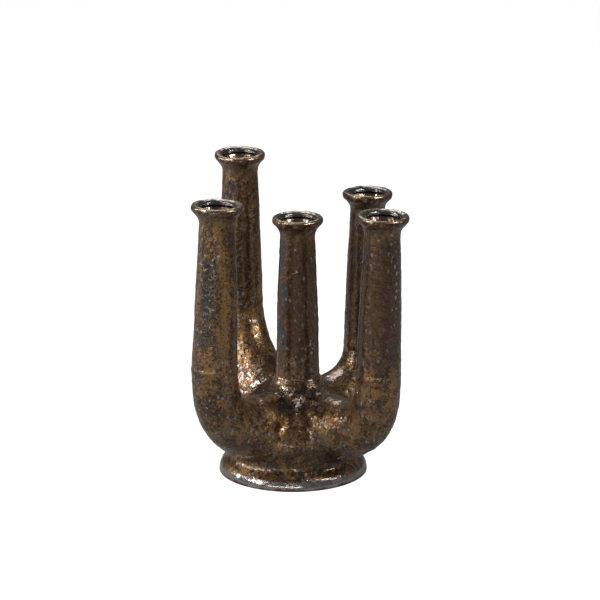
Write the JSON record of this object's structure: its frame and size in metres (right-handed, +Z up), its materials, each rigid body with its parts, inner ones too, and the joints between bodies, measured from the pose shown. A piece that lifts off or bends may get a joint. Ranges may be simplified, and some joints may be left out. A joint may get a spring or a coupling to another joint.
{
  "type": "multi-neck vase",
  "caption": "Stoneware vase with a flared foot and a squat bowl. A neck stands on the bowl and others on bent arms around it, all open into the same hollow.",
  "frame": {"origin": "on the plane that the foot stands on, below the middle of the whole outline", "axes": "+Z up; +X to the viewer's right and +Y away from the viewer who sees the two nearer necks left and right"},
  "size_m": [0.2134, 0.2144, 0.3115],
  "materials": {
    "glaze": "dark bronze lustre glaze, streaked and pitted",
    "slip_glaze": "the same glaze over hand-worked clay",
    "foot_glaze": "the same glaze, redder at the edge"
  },
  "bodies": {
    "root": {"foot_ring": "foot_glaze", "foot_coil": "slip_glaze", "bowl": "glaze", "front_left_arm": "glaze", "front_left_root_clay": "slip_glaze", "front_left_neck": "glaze", "front_left_neck_coil": "slip_glaze", "front_right_arm": "glaze", "front_right_root_clay": "slip_glaze", "front_right_neck": "glaze", "front_right_neck_coil": "slip_glaze", "back_right_arm": "glaze", "back_right_root_clay": "slip_glaze", "back_right_neck": "glaze", "back_right_neck_coil": "slip_glaze", "back_left_arm": "glaze", "back_left_root_clay": "slip_glaze", "back_left_neck": "glaze", "back_left_neck_coil": "slip_glaze", "centre_neck": "glaze", "centre_neck_coil": "slip_glaze"}
  },
  "joints": []
}
